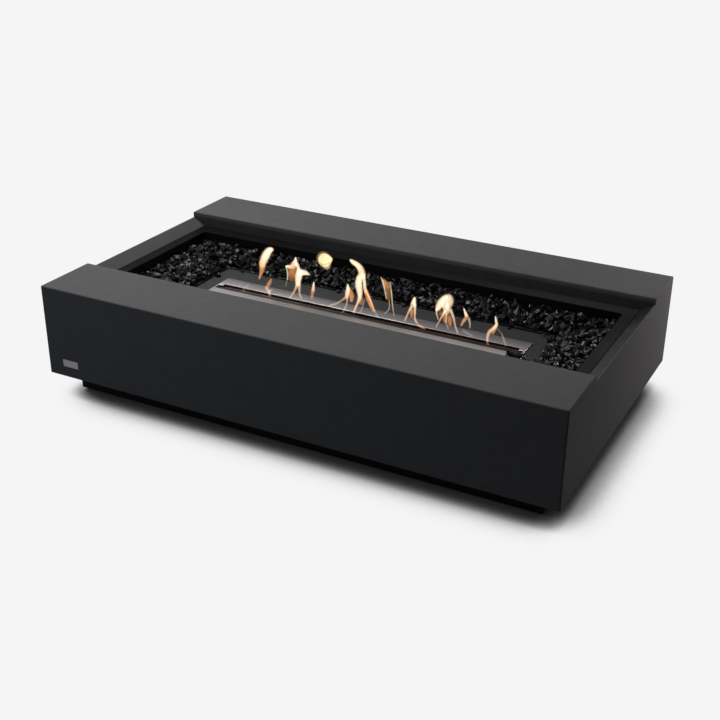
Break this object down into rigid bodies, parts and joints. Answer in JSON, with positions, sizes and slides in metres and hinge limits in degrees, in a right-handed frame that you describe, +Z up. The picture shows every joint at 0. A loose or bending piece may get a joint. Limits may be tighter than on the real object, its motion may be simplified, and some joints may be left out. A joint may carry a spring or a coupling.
{
  "type": "fire pit table",
  "caption": "Low rectangular fire pit table: cast body with two raised bars, a dropped tray of crushed glass and a linear burner with a sliding shutter, on a recessed plinth.",
  "frame": {"origin": "on the floor under the centre of the table", "axes": "+X along the length, to the right seen from the front; the front is the -Y side; +Z up"},
  "size_m": [1.26, 0.756, 0.275],
  "materials": {
    "cast_stone": "matte fine-grained cast concrete, dark grey",
    "plinth_paint": "satin black powder coat",
    "zinc_steel": "zinc plated",
    "foot_rubber": "matte moulded rubber",
    "tray_paint": "satin black heat-resistant coating",
    "brass": "turned",
    "silicone": "matte heat-resistant silicone",
    "black_glass": "crushed, glossy broken faces",
    "plate_paint": "satin dark grey heat-resistant coating",
    "stainless": "brushed along its length",
    "ceramic_wool": "soft fibrous block"
  },
  "bodies": {
    "table": {"cast_body": "cast_stone", "cast_inserts": "zinc_steel", "plinth_front_rail": "plinth_paint", "plinth_right_rail": "plinth_paint", "plinth_rear_rail": "plinth_paint", "plinth_left_rail": "plinth_paint", "plinth_braces": "plinth_paint", "plinth_corner_gussets": "plinth_paint", "plinth_screws": "zinc_steel", "foot_sockets": "plinth_paint", "foot_lock_nuts": "zinc_steel"},
    "foot_1": {"foot_pad_1": "foot_rubber", "foot_stud_1": "zinc_steel"},
    "foot_2": {"foot_pad_2": "foot_rubber", "foot_stud_2": "zinc_steel"},
    "foot_3": {"foot_pad_3": "foot_rubber", "foot_stud_3": "zinc_steel"},
    "foot_4": {"foot_pad_4": "foot_rubber", "foot_stud_4": "zinc_steel"},
    "tray": {"glass_tray": "tray_paint", "tray_stiffeners": "tray_paint", "drain_bushes": "brass", "flange_pads": "silicone", "glass_bed": "black_glass", "glass_chips_front": "black_glass", "glass_chips_right": "black_glass", "glass_chips_rear": "black_glass", "glass_chips_left": "black_glass"},
    "burner": {"burner_cover_plate": "plate_paint", "burner_rim": "stainless", "burner_deck_pan": "stainless", "burner_jacket": "stainless", "burner_tank": "stainless", "tank_spacers": "stainless", "burner_baffle": "stainless", "absorbent_pads": "ceramic_wool", "burner_seat_pads": "silicone"},
    "shutter": {"burner_shutter": "stainless"}
  },
  "joints": [
    {"name": "foot_1_turn", "type": "hinge", "parent": "table", "child": "foot_1", "pos_m": [-0.518, -0.264, 0], "axis": [0, 0, 1], "continuous": true},
    {"name": "foot_2_turn", "type": "hinge", "parent": "table", "child": "foot_2", "pos_m": [0.518, -0.264, 0], "axis": [0, 0, 1], "continuous": true},
    {"name": "foot_3_turn", "type": "hinge", "parent": "table", "child": "foot_3", "pos_m": [-0.518, 0.264, 0], "axis": [0, 0, 1], "continuous": true},
    {"name": "foot_4_turn", "type": "hinge", "parent": "table", "child": "foot_4", "pos_m": [0.518, 0.264, 0], "axis": [0, 0, 1], "continuous": true},
    {"name": "tray_lift", "type": "slide", "parent": "table", "child": "tray", "axis": [0, 0, 1], "range_m": [0, 0.12]},
    {"name": "burner_lift", "type": "slide", "parent": "tray", "child": "burner", "axis": [0, 0, 1], "range_m": [0, 0.22]},
    {"name": "shutter_slide", "type": "slide", "parent": "burner", "child": "shutter", "axis": [0, 1, 0], "range_m": [0, 0.015]}
  ]
}
